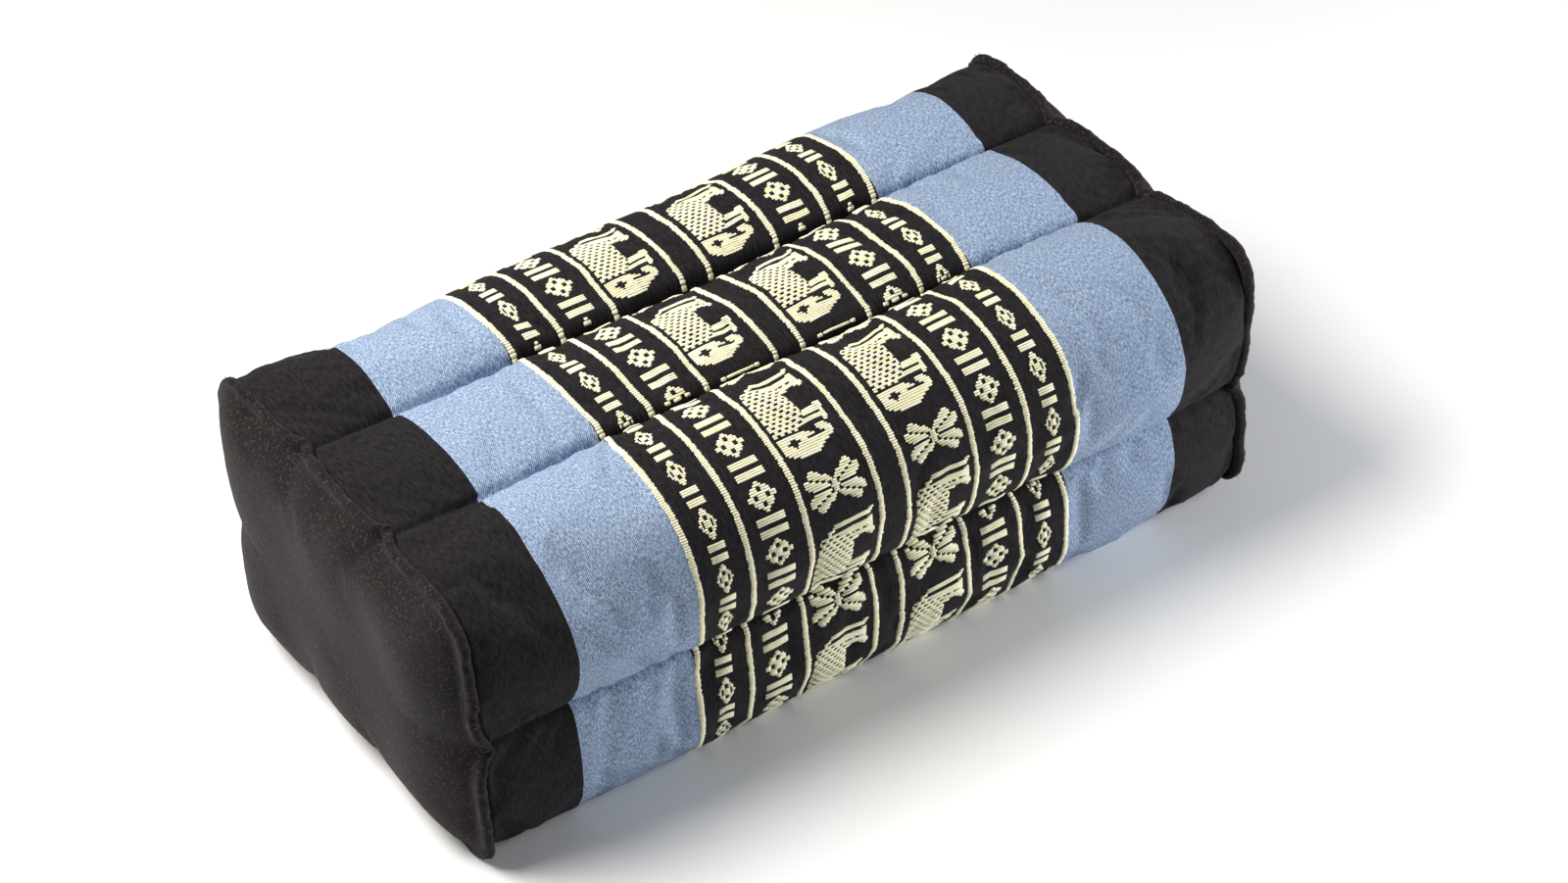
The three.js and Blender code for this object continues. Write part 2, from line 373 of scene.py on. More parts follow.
def column_places(lane_steps):
    """Where each column lies round the block, in whole lanes and shares of one."""
    return np.concatenate([lane + steps[:-1] for lane, steps in enumerate(lane_steps)])


def carried(shift, row_knots, rows_at, lane_steps):
    """A movement known on the coarse grid, read on a finer one. The columns run round without an end."""
    knots, at = column_places(coarse_steps), column_places(lane_steps)
    around = np.concatenate([knots[-3:] - 6, knots, knots[:3] + 6])
    wrapped = np.concatenate([shift[:, -3:], shift, shift[:, :3]], axis=1)
    down, across = cubic_weights(row_knots, rows_at), cubic_weights(around, at)
    return np.einsum("icx,jc->ijx", np.tensordot(down, wrapped, 1), across, optimize=True)


def gathered_steps(counts):
    """Steps along each lane that are closer together near its two seams."""
    steps = []
    for count in counts:
        u = np.linspace(0, 1, count + 1)
        steps.append(0.35 * u + 0.65 * (0.5 - 0.5 * np.cos(math.pi * u)))
    return steps


fine_steps = gathered_steps((46, 92, 78, 40, 78, 92))
turn = np.linspace(-1, 1, 205)
fine_stations = 170.3 * np.sin(turn * 1.1) / math.sin(1.1)
movement = blown - full
for row, share in enumerate(COARSE_SHARES):  # the middle of an end panel stays smooth
    movement[[row, -1 - row]] *= np.clip((share - 0.35) / 0.4, 0, 1) * 0.25
sleeve = sleeve_grid(fine_stations, fine_steps)
sleeve += carried(movement[12:-12], coarse_stations, fine_stations, fine_steps)
fine_places = column_places(fine_steps)
fine_lane = fine_places.astype(int)
fine_share = fine_places - fine_lane
lane_length = np.array(LANE_LENGTHS)[fine_lane]
fine_v = fine_share * lane_length
seam_away = np.minimum(fine_v, lane_length - fine_v)
print("finished grid:", sleeve.shape[:2])

# %% Tucks and gathers
def ripple(at, waves, period):
    """A line of uneven waves about as long as those given, between about -1 and 1."""
    total = np.zeros(np.shape(at))
    for wave in waves:
        turns = round(period / wave)
        size = rng.uniform(0.6, 1)
        start = rng.uniform(0, 2 * math.pi)
        total += size * np.sin(2 * math.pi * turns * np.asarray(at) / period + start)
    return total / len(waves)


def grid_normals(grid):
    along = np.gradient(grid, axis=0)
    around = np.roll(grid, -1, axis=1) - np.roll(grid, 1, axis=1)
    normal = np.cross(around, along)
    return normal / np.maximum(np.linalg.norm(normal, axis=2, keepdims=True), 1e-12)


TUCK_DEEP, TUCK_WIDE = 6.5, 1.7
# the way out of the seam that each lane starts on
SEAM_WAYS = np.array([(0, 0, 1), (0, 0, 1), (0, -1, 0), (0, 0, -1), (0, 0, -1), (0, 1, 0)])
seam_columns = np.searchsorted(fine_lane, np.arange(6))
nearest = np.where(fine_share < 0.5, fine_lane, (fine_lane + 1) % 6)
# the tucks open out towards the ends
held = 0.15 + 0.85 * np.clip((LENGTH / 2 - np.abs(fine_stations)) / 110, 0, 1)
tuck = TUCK_DEEP * held[:, None] * np.exp(-((seam_away / TUCK_WIDE) ** 1.3))[None, :]
sleeve -= SEAM_WAYS[nearest] * tuck[..., None]  # both walls of a tuck go in the way its seam faces
normals = grid_normals(sleeve)
depth = np.zeros(sleeve.shape[:2])
for lane in range(6):
    for near_start in (True, False):
        columns = fine_lane == lane
        away = fine_v[columns] if near_start else lane_length[columns] - fine_v[columns]
        waves = ripple(fine_stations, (9, 13, 17, 24, 31), 340.0)
        fading = np.exp(-away / 11) * (1 - np.exp(-away / 2.5))
        depth[:, columns] += 0.26 * waves[:, None] * fading[None, :]
perimeter = sum(LANE_LENGTHS)
around_mm = np.concatenate([[0], np.cumsum(LANE_LENGTHS)])[fine_lane] + fine_v
for end in (-1, 1):
    folds = ripple(around_mm, (12, 17, 26, 40), perimeter)
    reach = np.exp(-(LENGTH / 2 - end * fine_stations) / 14)
    depth += 0.4 * reach[:, None] * folds[None, :]
sleeve -= normals * depth[..., None]
REST = 0.45  # the raised yarns underneath are this thick, and it is they that lie on the floor
sleeve[..., 2] = np.maximum(sleeve[..., 2], REST)
normals = grid_normals(sleeve)
print("tucked in by up to", round(float(tuck.max()), 2), "mm, gathered by", round(float(depth.max()), 2), "mm")

# %% Make the sleeve's mesh
def inset(row, by):
    out = np.column_stack([np.zeros(len(row)), outwards(row[:, 1:])])
    return row - out * by


behind = 2.6
end_shares = np.array([0.97, 0.8, 0.5, 0.2])
sleeve_rows = sleeve.copy()
sleeve_rows[0], sleeve_rows[-1] = inset(sleeve[0], 0.9), inset(sleeve[-1], 0.9)
left_end = cap_grid(-1, end_shares[::-1], fine_steps, behind)
right_end = cap_grid(1, end_shares, fine_steps, behind)
points, quads, fans = stacked(np.concatenate([left_end, sleeve_rows, right_end]))
sleeve_piece = mesh_object("woven_sleeve", points, quads, fans)
columns = sleeve.shape[1]
v_line = np.append(around_mm, perimeter)
loops = np.empty(len(sleeve_piece.data.loops), int)
sleeve_piece.data.loops.foreach_get("vertex_index", loops)
uv = np.zeros((len(loops), 2))
uv[:, 0] = points[loops, 0]
place = np.tile(np.arange(columns), len(quads) // columns)
corners = [v_line[place], v_line[place + 1], v_line[place + 1], v_line[place]]
uv[: len(quads) * 4, 1] = np.stack(corners, axis=1).ravel()
layer = sleeve_piece.data.uv_layers.new(name="cloth")
layer.data.foreach_set("uv", (uv * MM).ravel())
print("sleeve faces:", len(sleeve_piece.data.polygons))

# %% [markdown]
# ## The end panels
# Each end is closed by a plain panel, sewn on with its raw edge turned outwards, so a soft wavering lip stands all
# round. The panel is rows of the same columns, from its centre out to the seam, over the lip and back underneath
# as its inner face, so panel and lip are one piece of cloth.

# %% Panels with their lips
LIP = ((-0.6, 2.0), (0.9, 2.0), (2.3, 2.1), (3.4, 1.5), (3.8, 0.2), (3.3, -1.3), (2.0, -2.1), (0.2, -2.6))
PANEL_THICK = 1.6
panel_shares = np.concatenate([np.linspace(0.05, 0.9, 30), [0.925, 0.945, 0.96, 0.972]])
rim_flat = loop_at(1.0, fine_steps)
rim_out = outwards(rim_flat)
rim_reach = end_reach(rim_flat)
around_coarse = np.concatenate([COARSE_SHARES, [1.0]])
lip_lines = {}


def panel_rows(end):
    rim = rim_flat + rim_out * swell_at(end * rim_reach, rim_flat)[:, None]
    moved = movement[:13] if end < 0 else movement[-13:][::-1]
    outer = cap_grid(end, panel_shares, fine_steps, 0) + carried(moved, around_coarse, panel_shares, fine_steps)
    creases = ripple(around_mm, (11, 16, 23, 37, 60), perimeter)
    outer[..., 0] += end * 0.8 * creases[None, :] * (np.exp(-(1 - panel_shares) / 0.07))[:, None]
    inner = outer - np.array([end * PANEL_THICK, 0, 0])
    tall = 1 + 0.3 * ripple(around_mm, (9, 14, 22, 45), perimeter)
    tall += 0.2 * ripple(around_mm, (4, 5.5, 7), perimeter)
    if end > 0:
        tall *= 0.55  # trimmed closer at this end
    else:
        tall *= 1 - 0.65 * np.clip((rim[:, 0] - 45) / 35, 0, 1)  # and along the back of the other
    lean = 1.3 * ripple(around_mm, (16, 27, 44, 80), perimeter) + 0.5 * ripple(around_mm, (5, 7, 9), perimeter)
    pinch = 1.5 * np.exp(-((seam_away / 3.5) ** 2))  # a channel's seam draws the lip in
    lip = []
    for out, along in LIP:
        x = end * (rim_reach + along - pinch + lean * max(0, out) / 3.4)
        rise = out * tall if out > 0 else np.full(len(rim), out)
        lip.append(np.column_stack([x, rim + rim_out * rise[:, None]]))
    lip = np.array(lip)
    lip[..., 2] = np.maximum(lip[..., 2], 0.3)
    lip_lines[end] = lip[4]
    return np.concatenate([outer, lip, inner[::-1]])


def panel_piece(name, end):
    rows = panel_rows(end)
    points, quads, fans = stacked(rows if end < 0 else rows[::-1])
    return mesh_object(name, points, quads, fans)


left_panel = panel_piece("panel_left", -1)
right_panel = panel_piece("panel_right", 1)
print("panel faces:", len(left_panel.data.polygons))

# %% [markdown]
# ## The woven band
# The band across the middle is brocade: on a dark ground, extra cream yarn floats over the surface wherever the
# motif needs it. It could be a picture on the cloth, but the yarns are thick enough to catch the light, so each
# float is a small raised bar that lies on the cloth. The motifs are charted one letter for each stitch:
# `#` is yarn, `b` is yarn with the brick-like dark ticks of the body, and a point is ground.

# %% Charts
REPEAT = 69.0  # the whole motif comes again after this much cloth
ELEPHANT = """
..............................###
..........######################.
.........######################..
......####.......................
....bbbbbb...................###.
..bbbbbbbb######################.
.bbbbbbbbbbbbb##################.
.bbbbbbbbbbbbbbbbbb#############.
bbbbbbbbbbbbbbbbbbbbb#..##..####.
bbbbbbbbbbbbbbbbbbbbb###########.
bbbbbbbbbbbbbbbbbbbbb############
bbbbbbbbbbbbbbbbbbbbb###....#####
bbbbbbbbbbbbbbbbbbbbb.........##.
bbbbbbbbbbbbbbbbbbbbb
bbbbbbbbbbbbbbbbbbbbb
bbbbbbbbbbbbbbbbbbbbb
bbbbbbbbbbbbbbbbbbbbb
bbbbbbbbbbbbbbbbbbbbb
bbbbbbbbbbbbbbbbbbbbb
bbbbbbbbbbbbbbbbbbbbb
bbbbbbbbbbbbbbbbbbbbb
bbbbbbbbbbbbbbbbbbbbb
bbbbbbbbbbbbbbbbbbbbb
bbbbbbbbbbbbbbbbbbbbb.......####.
bbbbbbbbbbbbbbbbbbbbb###########.
bbbbbbbbbbbbbbbbbbbbb###########.
bbbbbbbbbbbbbbbbbbbbb##########..
bbbbbbbbbbbbbbbbbbb..........##..
bbbbbbbbbbbbbbbbbbb############..
bbbbbbbbbbbbbbbbbb#############..
bbbbbbbbbbbbbbbb............###..
............................##...
################......#####......
##################....######.....
######...###########...######....
####.......####..........####....
######...####################....
#######.####################.....
#########################........
.#####################...........
...#################.............
......############...............
"""
FLOWER_QUARTER = """
....###.........
...######.......
...#######......
###..########...
######..######..
#########..####.
.###########..##
...##########.##
.............###
"""
DIAMOND_HALF = """
......##......
.....####.....
...###..###...
..####..####..
..##########..
###..####..###
"""
SLIM_DIAMOND_HALF = """
....##....
...####...
...####...
..##..##..
.###..###.
.#.####.#.
##.####.##
"""


def rows_of(chart):
    rows = chart.strip("\n").split("\n")
    widest = max(map(len, rows))
    return [row.ljust(widest, ".") for row in rows]


def mirrored_down(rows, middle=1):
    """Rows and their mirror image. A middle row of 1 is not repeated, one of 0 is."""
    return rows + rows[-1 - middle :: -1]


flower = mirrored_down([row + row[-2::-1] for row in rows_of(FLOWER_QUARTER)])
elephant = rows_of(ELEPHANT)
diamond = mirrored_down(rows_of(DIAMOND_HALF), 0)
slim_diamond = mirrored_down(rows_of(SLIM_DIAMOND_HALF))
bars = ["#" * 15] * 3 + ["." * 15] * 2 + ["#" * 15] * 3
slim_bars = ["#" * 9] * 3 + ["." * 9] * 2 + ["#" * 9] * 3
print("charts:", [(len(chart[0]), len(chart)) for chart in (elephant, flower, diamond, slim_diamond)])

# %% [markdown]
# The cloth was woven first and sewn after, so the motifs run on round the block, and each seam swallows a little
# of them in its tuck. A table says which part of the repeat each lane starts on. A chart's row becomes runs of
# yarn, and each run is laid on the cloth by reading the finished grid between its points.

# %% Where the motifs fall
LANE_STARTS = {
    "top": -12.1,
    "front_upper": -16.0,
    "front_lower": 47.0,
    "under": 170.0,
    "back_lower": 240.0,
    "back_upper": -78.1,
}
LANE_DRIFT = {  # how far the band stands from the middle of the block, along each lane
    "top": ((0, 1.6), (20, 2.1), (63, 3.5)),
    "front_upper": ((0, 2.6), (7, 2.0), (15, 0.8), (48, 0.1), (92, 1.8), (126, 1.5)),
    "front_lower": ((0, 1.4), (45, 0.8), (115, 1.0)),
    "under": ((0, 1.0), (64, 1.4)),
    "back_lower": ((0, 1.4), (115, 0.6)),
    "back_upper": ((0, 0.6), (88, 0.2), (126, 1.9)),
}
COLUMNS = (  # chart, middle of its column, its first row in the repeat, how often it comes, letter wide, row tall
    (elephant, (-21.9, 22.1), -1.0, 1, 0.75, 1.0),
    (flower, (-21.9, 22.1), 46.3, 1, 0.75, 0.96),
    (diamond, (-49.7, 49.6), -5.0, 3, 0.81, 1.0),
    (bars, (-49.7, 49.6), 8.5, 3, 0.76, 0.99),
    (slim_diamond, (-72.4, 72.2), -4.4, 3, 0.7, 0.96),
    (slim_bars, (-72.4, 72.2), 9.6, 3, 0.75, 0.96),
)
LINES = (-83.0, -61.5, -37.0, -6.0, 6.2, 37.3, 61.6, 83.0)
LINE_WIDE = 2.35
SEAM_CLEAR = 1.6  # no float is laid closer to a seam than this


def runs_in(row, number):
    """The runs of yarn in one row of a chart, as (first, last) letters."""
    yarn = []
    for place, letter in enumerate(row):
        tick = number % 2 == 0 and (place + (2 if number % 4 else 0)) % 4 < 2
        yarn.append(letter == "#" or (letter == "b" and not tick))
    edges = np.flatnonzero(np.diff(np.concatenate([[0], yarn, [0]])))
    return list(zip(edges[0::2], edges[1::2]))


def drift(lane, v):
    """How far the band stands from the middle of the block, at a place along a lane."""
    places, shifts = zip(*LANE_DRIFT[LANES[lane]])
    return float(np.interp(v, places, shifts))


def chart_runs(chart, middle, first, step, cell, pick):
    """Every run of yarn of one charted column: lane, place along it, its two ends along the block, height."""
    runs = []
    left = middle - len(chart[0]) * cell / 2
    for lane, name in enumerate(LANES):
        start = LANE_STARTS[name]
        top = first + math.floor((start - first) / step) * step
        while top < start + LANE_LENGTHS[lane]:
            for number, row in enumerate(chart):
                v = top + (number + 0.5) * pick - start
                if SEAM_CLEAR < v < LANE_LENGTHS[lane] - SEAM_CLEAR:
                    x = left + drift(lane, v)
                    runs += [(lane, v, x + a * cell, x + b * cell, pick) for a, b in runs_in(row, number)]
            top += step
    return runs


def motif_runs():
    runs = {"large": [], "small": []}
    for chart, middles, first, often, cell, pick in COLUMNS:
        for middle in middles:
            size = "large" if often == 1 else "small"
            runs[size] += chart_runs(chart, middle, first, REPEAT / often, cell, pick)
    for middle in COLUMNS[1][1]:  # the top's front seam folds a flower away, and only a thin line of it shows
        x = middle + drift(0, LANE_LENGTHS[0])
        runs["large"].append((0, LANE_LENGTHS[0] - 2.3, x - 6, x + 6, 0.7))
    return runs


def line_runs():
    runs = []
    for middle in LINES:
        for lane in range(6):
            v = 0.8
            while v < LANE_LENGTHS[lane] - 0.4:
                x = middle + drift(lane, v) + 0.1 * rng.normal()
                wide = LINE_WIDE / 2 + 0.08 * rng.normal()
                runs.append((lane, v, x - wide, x + wide, 1.08))
                v += 1.08
    return runs


band = np.array([drift(lane, v) for lane, v in zip(fine_lane, fine_v)])
uv[:, 0] -= band[loops % len(band)]  # the stripes drift with the band
layer.data.foreach_set("uv", (uv * MM).ravel())
woven_runs = motif_runs()
woven_runs["lines"] = line_runs()
print("runs of yarn:", {name: len(runs) for name, runs in woven_runs.items()})

# %% Lay the yarn on the cloth
PROFILE = ((-0.52, -0.1), (-0.28, 0.36), (0.28, 0.36), (0.52, -0.1))  # across a float: sideways in picks, and up
lane_columns = [np.flatnonzero(fine_lane == lane) for lane in range(6)]


def on_cloth(lane, v, x, up):
    """Places on the finished sleeve, by distance along a lane and along the block, raised by a height."""
    columns = np.append(lane_columns[lane], (lane_columns[lane][-1] + 1) % sleeve.shape[1])
    v_line = np.append(fine_v[lane_columns[lane]], LANE_LENGTHS[lane])
    column = np.clip(np.searchsorted(v_line, v) - 1, 0, len(v_line) - 2)
    row = np.clip(np.searchsorted(fine_stations, x) - 1, 0, len(fine_stations) - 2)
    s = ((v - v_line[column]) / (v_line[column + 1] - v_line[column]))[..., None]
    t = ((x - fine_stations[row]) / (fine_stations[row + 1] - fine_stations[row]))[..., None]
    a, b = columns[column], columns[column + 1]

    def read(grid):
        near = grid[row, a] * (1 - s) + grid[row, b] * s
        far = grid[row + 1, a] * (1 - s) + grid[row + 1, b] * s
        return near * (1 - t) + far * t

    return read(sleeve) + read(normals) * up[..., None]


def yarn_piece(name, runs, longest=5.0):
    """One mesh of raised bars, each a closed tube of four sides with its ends drawn down."""
    points, quads, tone, total = [], [], [], 0
    for lane in range(6):
        for _, v, start, end, pick in (run for run in runs if run[0] == lane):
            ease = min(0.34, (end - start) * 0.3)
            inner = np.linspace(start + ease, end - ease, 1 + max(1, math.ceil((end - start) / longest)))
            x = np.concatenate([[start], inner, [end]])
            low = np.ones(len(x))
            low[[0, -1]] = 0.25
            across = np.array([side for side, _ in PROFILE])[None, :] * pick * (0.5 + 0.5 * low)[:, None]
            up = np.array([height for _, height in PROFILE])[None, :] * low[:, None]
            where = on_cloth(lane, v + across, np.repeat(x[:, None], 4, axis=1), up)
            points.append(where.reshape(-1, 3))
            for i in range(len(x) - 1):
                for k in range(4):
                    a, b = total + i * 4 + k, total + i * 4 + (k + 1) % 4
                    quads.append((a, b, b + 4, a + 4))
            last = total + (len(x) - 1) * 4
            quads.append((total + 3, total + 2, total + 1, total))
            quads.append((last, last + 1, last + 2, last + 3))
            tone += [rng.uniform()] * (len(x) * 4)
            total += len(x) * 4
    points = np.concatenate(points)
    points[:, 2] = np.maximum(points[:, 2], 0.02)
    obj = mesh_object(name, points, np.array(quads))
    obj.data.attributes.new("tone", "FLOAT", "POINT").data.foreach_set("value", tone)
    return obj


yarn_pieces = [yarn_piece(f"yarn_{name}", runs) for name, runs in woven_runs.items()]
for piece in yarn_pieces:
    print(piece.name, len(piece.data.polygons) * 2, "triangles")

# %% [markdown]
# ## Stitches
# The channels are sewn through from outside with strong dark thread, and its stitches show in the valleys. A
# repeat along a path is what geometry nodes are for: the seam's line is cut into even steps, and a small rounded
# stitch is set on each, turned to follow the line.

# %% A tree that sews along a line
def new_tree(name, inputs):
    tree = bpy.data.node_groups.new(name, "GeometryNodeTree")
    tree.interface.new_socket(name="Geometry", in_out="INPUT", socket_type="NodeSocketGeometry")
    for title, kind, value in inputs:
        socket = tree.interface.new_socket(name=title, in_out="INPUT", socket_type=kind)
        if value is not None:
            socket.default_value = value
    tree.interface.new_socket(name="Geometry", in_out="OUTPUT", socket_type="NodeSocketGeometry")
    return tree, tree.nodes.new("NodeGroupInput"), tree.nodes.new("NodeGroupOutput")


def set_inputs(modifier, values):
    for item in modifier.node_group.interface.items_tree:
        if item.item_type == "SOCKET" and item.in_out == "INPUT" and item.name in values:
            modifier[item.identifier] = values[item.name]


def sewing_tree():
    tree, given, made = new_tree(
        "sewn_along_a_line",
        [
            ("Pitch", "NodeSocketFloat", 0.0046),
            ("Length", "NodeSocketFloat", 0.0036),
            ("Thickness", "NodeSocketFloat", 0.0005),
            ("Thread", "NodeSocketMaterial", None),
        ],
    )
    add, link = tree.nodes.new, tree.links.new
    curve = add("GeometryNodeMeshToCurve")
    steps = add("GeometryNodeResampleCurve")
    steps.mode = "LENGTH"
    ball = add("GeometryNodeMeshUVSphere")
    ball.inputs["Segments"].default_value = 8
    ball.inputs["Rings"].default_value = 6
    ball.inputs["Radius"].default_value = 0.5
    size = add("ShaderNodeCombineXYZ")
    tangent = add("GeometryNodeInputTangent")
    turned = add("FunctionNodeAlignRotationToVector")
    turned.axis = "Z"
    placed = add("GeometryNodeInstanceOnPoints")
    real = add("GeometryNodeRealizeInstances")
    finish = add("GeometryNodeSetMaterial")
    link(given.outputs["Geometry"], curve.inputs[0])
    link(curve.outputs[0], steps.inputs["Curve"])
    link(given.outputs["Pitch"], steps.inputs["Length"])
    link(given.outputs["Thickness"], size.inputs["X"])
    link(given.outputs["Thickness"], size.inputs["Y"])
    link(given.outputs["Length"], size.inputs["Z"])
    link(tangent.outputs[0], turned.inputs["Vector"])
    link(steps.outputs[0], placed.inputs["Points"])
    link(ball.outputs["Mesh"], placed.inputs["Instance"])
    link(turned.outputs[0], placed.inputs["Rotation"])
    link(size.outputs[0], placed.inputs["Scale"])
    link(placed.outputs[0], real.inputs[0])
    link(real.outputs[0], finish.inputs["Geometry"])
    link(given.outputs["Thread"], finish.inputs["Material"])
    link(finish.outputs[0], made.inputs[0])
    return tree


print("nodes that sew:", len(sewing_tree().nodes))

# %% Sew the channel seams
def line_object(name, lines, extra=None):
    """Lines of points as a mesh of edges, with an optional vector kept on each point."""
    mesh = bpy.data.meshes.new(name)
    edges, total = [], 0
    for line in lines:
        edges += [(total + i, total + i + 1) for i in range(len(line) - 1)]
        total += len(line)
    mesh.from_pydata((np.concatenate(lines) * MM).tolist(), edges, [])
    if extra is not None:
        kept = mesh.attributes.new("out", "FLOAT_VECTOR", "POINT")
        kept.data.foreach_set("vector", np.concatenate(extra).ravel())
    obj = bpy.data.objects.new(name, mesh)
    bpy.context.scene.collection.objects.link(obj)
    return obj


def made_real(obj, tree, values):
    """Runs a tree on an object and leaves its result as a plain mesh."""
    modifier = obj.modifiers.new(tree.name, "NODES")
    modifier.node_group = tree
    set_inputs(modifier, values)
    graph = bpy.context.evaluated_depsgraph_get()
    mesh = bpy.data.meshes.new_from_object(obj.evaluated_get(graph))
    obj.modifiers.clear()
    old, obj.data = obj.data, mesh
    bpy.data.meshes.remove(old)
    mesh.name = obj.name
    mesh.shade_smooth()
    return obj


thread = bpy.data.materials.new("dark_thread")
inside = np.abs(fine_stations) < 166
seam_lines = [(sleeve + normals * 0.1)[inside, column] for column in seam_columns]
stitches = line_object("seam_stitches", seam_lines)
made_real(stitches, bpy.data.node_groups["sewn_along_a_line"], {"Thread": thread})
print("stitch faces:", len(stitches.data.polygons))

# %% [markdown]
# ## Frayed edges
# The lips are raw cut edges, so short fibres stand out of them everywhere. They are scattered along the lip's
# crest by geometry nodes with a fixed seed, each a thin tapering hair, leaning at random about the way out.

# %% A tree that frays a line
def fray_tree():
    tree, given, made = new_tree(
        "frayed_along_a_line",
        [
            ("Spacing", "NodeSocketFloat", 0.0008),
            ("Length", "NodeSocketFloat", 0.0015),
            ("Seed", "NodeSocketInt", 7),
            ("Fibre", "NodeSocketMaterial", None),
        ],
    )
    add, link = tree.nodes.new, tree.links.new
    curve = add("GeometryNodeMeshToCurve")
    steps = add("GeometryNodeResampleCurve")
    steps.mode = "LENGTH"
    hair = add("GeometryNodeMeshCone")
    hair.inputs["Vertices"].default_value = 4
    hair.inputs["Radius Top"].default_value = 0.03
    hair.inputs["Radius Bottom"].default_value = 0.075
    hair.inputs["Depth"].default_value = 1.0
    out = add("GeometryNodeInputNamedAttribute")
    out.data_type = "FLOAT_VECTOR"
    out.inputs["Name"].default_value = "out"
    lean = add("FunctionNodeRandomValue")
    lean.data_type = "FLOAT_VECTOR"
    lean.inputs[0].default_value = (-1.1, -1.1, -1.1)
    lean.inputs[1].default_value = (1.1, 1.1, 1.1)
    way = add("ShaderNodeVectorMath")
    turned = add("FunctionNodeAlignRotationToVector")
    turned.axis = "Z"
    long = add("FunctionNodeRandomValue")
    long.data_type = "FLOAT"
    long.inputs[2].default_value = 0.25
    long.inputs[3].default_value = 1.0
    size = add("ShaderNodeMath")
    size.operation = "MULTIPLY"
    placed = add("GeometryNodeInstanceOnPoints")
    real = add("GeometryNodeRealizeInstances")
    finish = add("GeometryNodeSetMaterial")
    link(given.outputs["Geometry"], curve.inputs[0])
    link(curve.outputs[0], steps.inputs["Curve"])
    link(given.outputs["Spacing"], steps.inputs["Length"])
    for node in (lean, long):
        link(given.outputs["Seed"], node.inputs["Seed"])
    link(out.outputs[0], way.inputs[0])
    link(lean.outputs[0], way.inputs[1])
    link(way.outputs[0], turned.inputs["Vector"])
    link(long.outputs[1], size.inputs[0])
    link(given.outputs["Length"], size.inputs[1])
    link(steps.outputs[0], placed.inputs["Points"])
    link(hair.outputs["Mesh"], placed.inputs["Instance"])
    link(turned.outputs[0], placed.inputs["Rotation"])
    link(size.outputs[0], placed.inputs["Scale"])
    link(placed.outputs[0], real.inputs[0])
    link(real.outputs[0], finish.inputs["Geometry"])
    link(given.outputs["Fibre"], finish.inputs["Material"])
    link(finish.outputs[0], made.inputs[0])
    return tree


fibre = bpy.data.materials.new("brown_fibre")
edge_out = np.column_stack([np.zeros(len(rim_out)), rim_out])
lowest = int(np.argmin(rim_flat[:, 1] + np.abs(rim_flat[:, 0])))
order = np.roll(np.arange(len(rim_flat)), -lowest)
order = order[rim_flat[order, 1] > 9]  # clear of the floor
frayed = line_object("frayed_edges", [line[order] for line in lip_lines.values()], [edge_out[order]] * 2)
made_real(frayed, fray_tree(), {"Fibre": fibre})
print("fibre faces:", len(frayed.data.polygons))

# %% [markdown]
# ## Finishes
# The sleeve is one cloth whose stripes are woven in, so one material reads the cloth's own coordinates: how far
# along the block a place lies picks dark or blue, and a fine crossing of two waves raises the weave. The blue is
# heathered, because light and dark yarns are spun together.

# %% Helpers for node materials
def srgb(*rgb):
    """A colour given as 0 to 255, as the numbers that shaders use."""
    scaled = [value / 255 for value in rgb]
    return [c / 12.92 if c <= 0.04045 else ((c + 0.055) / 1.055) ** 2.4 for c in scaled] + [1.0]


